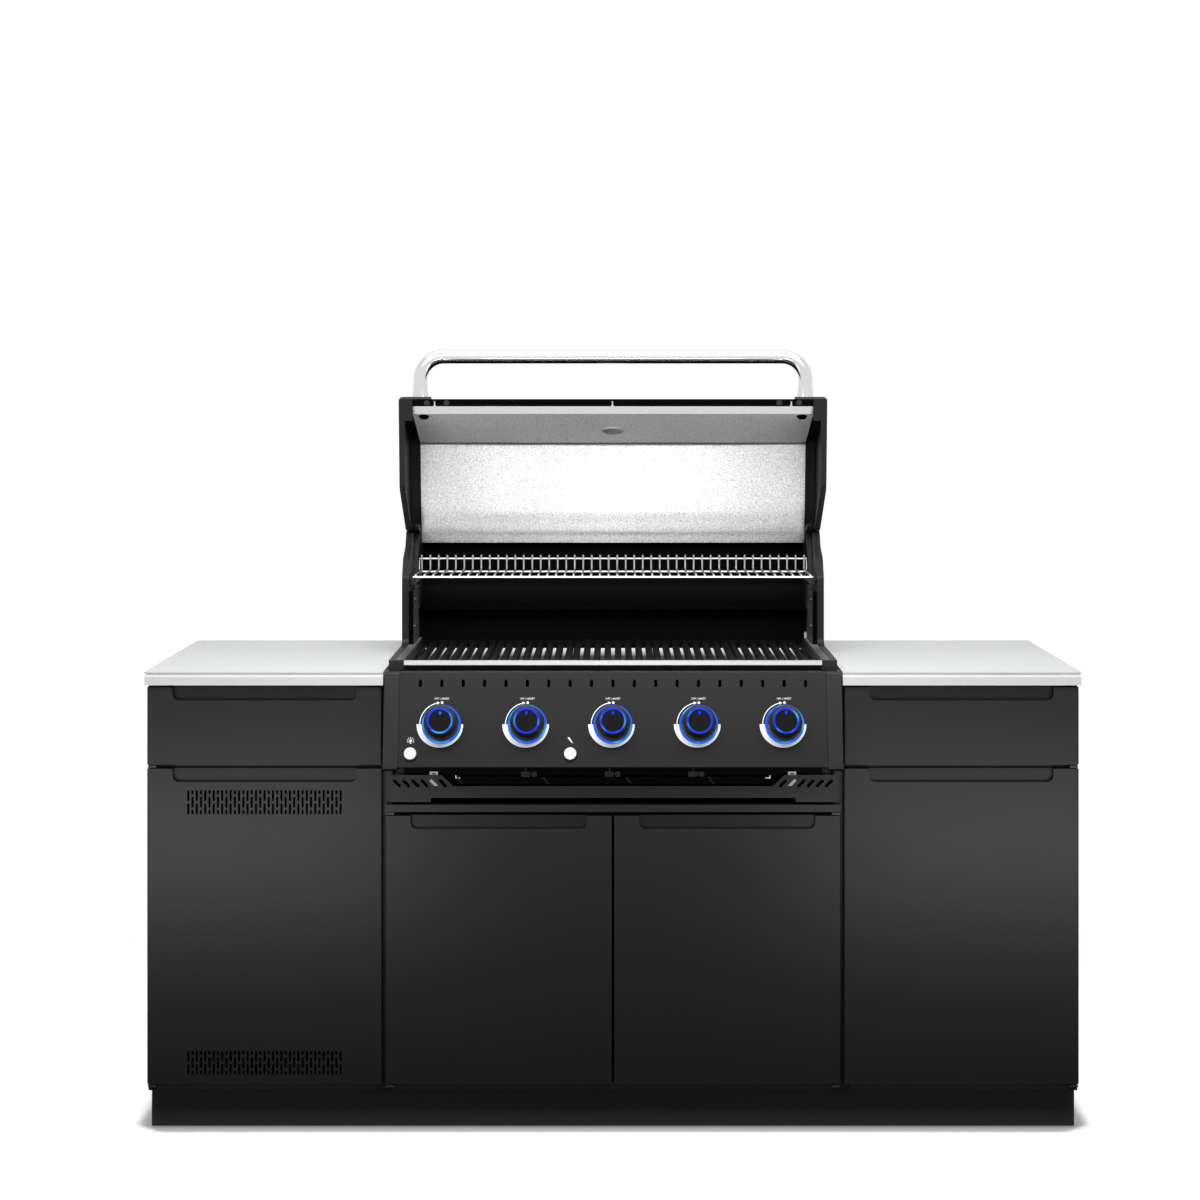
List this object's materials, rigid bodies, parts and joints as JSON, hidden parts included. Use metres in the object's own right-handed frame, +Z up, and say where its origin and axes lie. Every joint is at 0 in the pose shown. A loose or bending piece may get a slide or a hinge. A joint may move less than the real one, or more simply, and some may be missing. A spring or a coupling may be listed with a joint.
{
  "type": "outdoor kitchen gas grill island",
  "caption": "Black outdoor-kitchen island with a lidded built-in gas grill, lit knobs, pale countertops, drawers and doors.",
  "frame": {"origin": "on the floor under the middle of the island", "axes": "+X to the right seen from the front, +Y to the rear, +Z up"},
  "size_m": [1.834, 0.7004, 1.5476],
  "materials": {
    "cabinet_black": "fine-textured black powder coat",
    "drawer_grey": "satin coat",
    "zinc_steel": "zinc plated",
    "foot_rubber": "moulded",
    "counter_grey": "pale grey satin top",
    "cast_black": "black painted casting",
    "firebox_enamel": "black enamel",
    "panel_black": "black powder coat",
    "stainless": "brushed",
    "rack_chrome": "bright chrome",
    "light_blue": "lit light guide",
    "knob_grey": "satin grey",
    "valve_brass": "machined",
    "button_white": "moulded",
    "lead_grey": "moulded",
    "grid_iron": "matte enamel"
  },
  "bodies": {
    "island": {"side_panels": "cabinet_black", "floor_panels": "cabinet_black", "back_panels": "cabinet_black", "toe_kicks": "cabinet_black", "cabinet_rails": "cabinet_black", "slotted_rail": "cabinet_black", "slide_channels": "zinc_steel", "door_pivots": "zinc_steel", "gas_manifold": "zinc_steel", "fasteners": "zinc_steel", "lid_hinge_pins": "zinc_steel", "levelling_feet": "foot_rubber", "left_countertop": "counter_grey", "right_countertop": "counter_grey", "firebox_left_end": "cast_black", "firebox_right_end": "cast_black", "panel_end_caps": "cast_black", "firebox_front": "firebox_enamel", "firebox_back_wall": "firebox_enamel", "firebox_floor": "firebox_enamel", "control_panel": "panel_black", "knob_bezels": "panel_black", "front_trim_strip": "stainless", "heat_tents": "stainless", "burners": "stainless", "warming_rack": "rack_chrome", "light_rings": "light_blue", "gas_valves": "valve_brass", "cable_clips": "button_white", "igniter_leads": "lead_grey", "cooking_grids": "grid_iron"},
    "lid": {"lid_outer_panel": "firebox_enamel", "lid_inner_liner": "stainless", "lid_end_cap_left": "cast_black", "lid_end_cap_right": "cast_black", "lid_handle": "rack_chrome", "handle_standoffs": "rack_chrome", "lid_thermometer": "stainless", "lid_screws": "zinc_steel"},
    "left_door": {"left_door": "cabinet_black"},
    "right_door": {"right_door": "cabinet_black"},
    "grill_door_left": {"grill_door_left": "cabinet_black"},
    "grill_door_right": {"grill_door_right": "cabinet_black"},
    "left_drawer": {"left_drawer_front": "cabinet_black", "left_drawer_box": "drawer_grey"},
    "right_drawer": {"right_drawer_front": "cabinet_black", "right_drawer_box": "drawer_grey"},
    "drip_tray": {"drip_tray": "firebox_enamel"},
    "light_button": {"light_button": "button_white"},
    "ignition_button": {"ignition_button": "button_white"},
    "valve_stem_1": {"valve_stem_1": "valve_brass"},
    "knob_1": {"knob_1": "knob_grey"},
    "valve_stem_2": {"valve_stem_2": "valve_brass"},
    "knob_2": {"knob_2": "knob_grey"},
    "valve_stem_3": {"valve_stem_3": "valve_brass"},
    "knob_3": {"knob_3": "knob_grey"},
    "valve_stem_4": {"valve_stem_4": "valve_brass"},
    "knob_4": {"knob_4": "knob_grey"},
    "valve_stem_5": {"valve_stem_5": "valve_brass"},
    "knob_5": {"knob_5": "knob_grey"}
  },
  "joints": [
    {"name": "lid_hinge", "type": "hinge", "parent": "island", "child": "lid", "pos_m": [0, 0.15318, 1.0645], "axis": [1, 0, 0], "range_deg": [0, 83]},
    {"name": "left_door_hinge", "type": "hinge", "parent": "island", "child": "left_door", "pos_m": [-0.9045, -0.25082, 0.4], "axis": [0, 0, -1], "range_deg": [0, 100]},
    {"name": "right_door_hinge", "type": "hinge", "parent": "island", "child": "right_door", "pos_m": [0.9045, -0.25082, 0.4], "axis": [0, 0, 1], "range_deg": [0, 100]},
    {"name": "grill_door_left_hinge", "type": "hinge", "parent": "island", "child": "grill_door_left", "pos_m": [-0.4375, -0.25082, 0.4], "axis": [0, 0, -1], "range_deg": [0, 100]},
    {"name": "grill_door_right_hinge", "type": "hinge", "parent": "island", "child": "grill_door_right", "pos_m": [0.4375, -0.25082, 0.4], "axis": [0, 0, 1], "range_deg": [0, 100]},
    {"name": "left_drawer_slide", "type": "slide", "parent": "island", "child": "left_drawer", "axis": [0, -1, 0], "range_m": [0, 0.4]},
    {"name": "right_drawer_slide", "type": "slide", "parent": "island", "child": "right_drawer", "axis": [0, -1, 0], "range_m": [0, 0.4]},
    {"name": "drip_tray_slide", "type": "slide", "parent": "island", "child": "drip_tray", "axis": [0, -1, 0], "range_m": [0, 0.3]},
    {"name": "light_button_press", "type": "slide", "parent": "island", "child": "light_button", "axis": [0, 0.9617, -0.274], "range_m": [0, 0.0025], "stiffness_N_per_m": 800, "springref_m": -0.001},
    {"name": "ignition_button_press", "type": "slide", "parent": "island", "child": "ignition_button", "axis": [0, 0.9617, -0.274], "range_m": [0, 0.0025], "stiffness_N_per_m": 800, "springref_m": -0.001},
    {"name": "knob_1_push", "type": "slide", "parent": "island", "child": "valve_stem_1", "axis": [0, 0.9617, -0.274], "range_m": [0, 0.003], "stiffness_N_per_m": 2000, "springref_m": -0.0015},
    {"name": "knob_1_turn", "type": "hinge", "parent": "valve_stem_1", "child": "knob_1", "pos_m": [-0.334, -0.29536, 0.8128], "axis": [0, -0.9617, 0.274], "range_deg": [0, 270]},
    {"name": "knob_2_push", "type": "slide", "parent": "island", "child": "valve_stem_2", "axis": [0, 0.9617, -0.274], "range_m": [0, 0.003], "stiffness_N_per_m": 2000, "springref_m": -0.0015},
    {"name": "knob_2_turn", "type": "hinge", "parent": "valve_stem_2", "child": "knob_2", "pos_m": [-0.167, -0.29536, 0.8128], "axis": [0, -0.9617, 0.274], "range_deg": [0, 270]},
    {"name": "knob_3_push", "type": "slide", "parent": "island", "child": "valve_stem_3", "axis": [0, 0.9617, -0.274], "range_m": [0, 0.003], "stiffness_N_per_m": 2000, "springref_m": -0.0015},
    {"name": "knob_3_turn", "type": "hinge", "parent": "valve_stem_3", "child": "knob_3", "pos_m": [0, -0.29536, 0.8128], "axis": [0, -0.9617, 0.274], "range_deg": [0, 270]},
    {"name": "knob_4_push", "type": "slide", "parent": "island", "child": "valve_stem_4", "axis": [0, 0.9617, -0.274], "range_m": [0, 0.003], "stiffness_N_per_m": 2000, "springref_m": -0.0015},
    {"name": "knob_4_turn", "type": "hinge", "parent": "valve_stem_4", "child": "knob_4", "pos_m": [0.167, -0.29536, 0.8128], "axis": [0, -0.9617, 0.274], "range_deg": [0, 270]},
    {"name": "knob_5_push", "type": "slide", "parent": "island", "child": "valve_stem_5", "axis": [0, 0.9617, -0.274], "range_m": [0, 0.003], "stiffness_N_per_m": 2000, "springref_m": -0.0015},
    {"name": "knob_5_turn", "type": "hinge", "parent": "valve_stem_5", "child": "knob_5", "pos_m": [0.334, -0.29536, 0.8128], "axis": [0, -0.9617, 0.274], "range_deg": [0, 270]}
  ]
}
